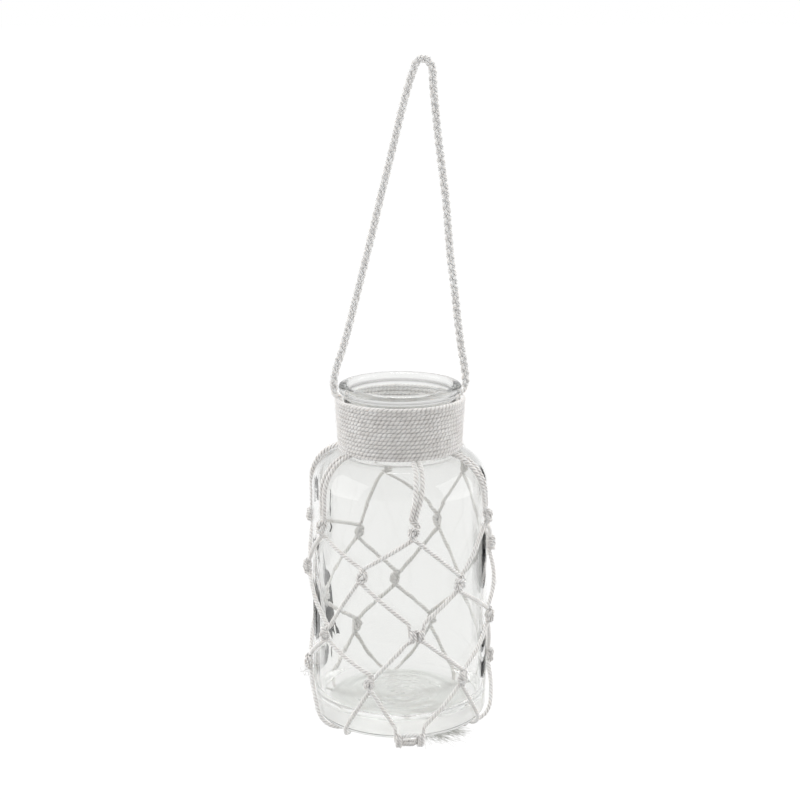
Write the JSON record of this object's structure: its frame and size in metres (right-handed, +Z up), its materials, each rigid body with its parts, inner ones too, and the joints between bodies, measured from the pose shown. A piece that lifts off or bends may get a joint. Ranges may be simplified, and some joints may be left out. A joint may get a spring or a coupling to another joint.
{
  "type": "macrame hanging vase",
  "caption": "Clear glass bottle vase in a knotted cord net, its neck wound with cord, hanging from a plaited cord loop that lets it swing.",
  "frame": {"origin": "the inside of the hanging loop's top, where a hook or nail carries it", "axes": "+Z up along the upright jar's axis, +X to the right across the loop's plane, +Y to the back; the jar's own axis stands 12.5 mm to the left of the origin"},
  "size_m": [0.109, 0.109, 0.3819],
  "materials": {
    "glass": "clear, faintly green where it is thick",
    "winding_cord": "twisted off-white cotton",
    "net_cord": "twisted off-white cotton",
    "loop_cord": "plaited off-white cotton"
  },
  "bodies": {
    "loop": {"hanging_loop": "loop_cord"},
    "vase": {"glass_jar": "glass", "neck_winding": "winding_cord", "net_cord_1_left": "net_cord", "net_cord_1_right": "net_cord", "net_cord_2_left": "net_cord", "net_cord_2_right": "net_cord", "net_cord_3_left": "net_cord", "net_cord_3_right": "net_cord", "net_cord_4_left": "net_cord", "net_cord_4_right": "net_cord", "net_cord_5_left": "net_cord", "net_cord_5_right": "net_cord", "net_cord_6_left": "net_cord", "net_cord_6_right": "net_cord", "loop_end_left": "loop_cord", "loop_end_right": "loop_cord", "gathering_knot": "net_cord", "cut_ends": "net_cord"}
  },
  "joints": [
    {"name": "vase_swing", "type": "hinge", "parent": "loop", "child": "vase", "pos_m": [-0.0125, 0, -0.17936], "axis": [1, 0, 0], "range_deg": [-90, 90]}
  ]
}
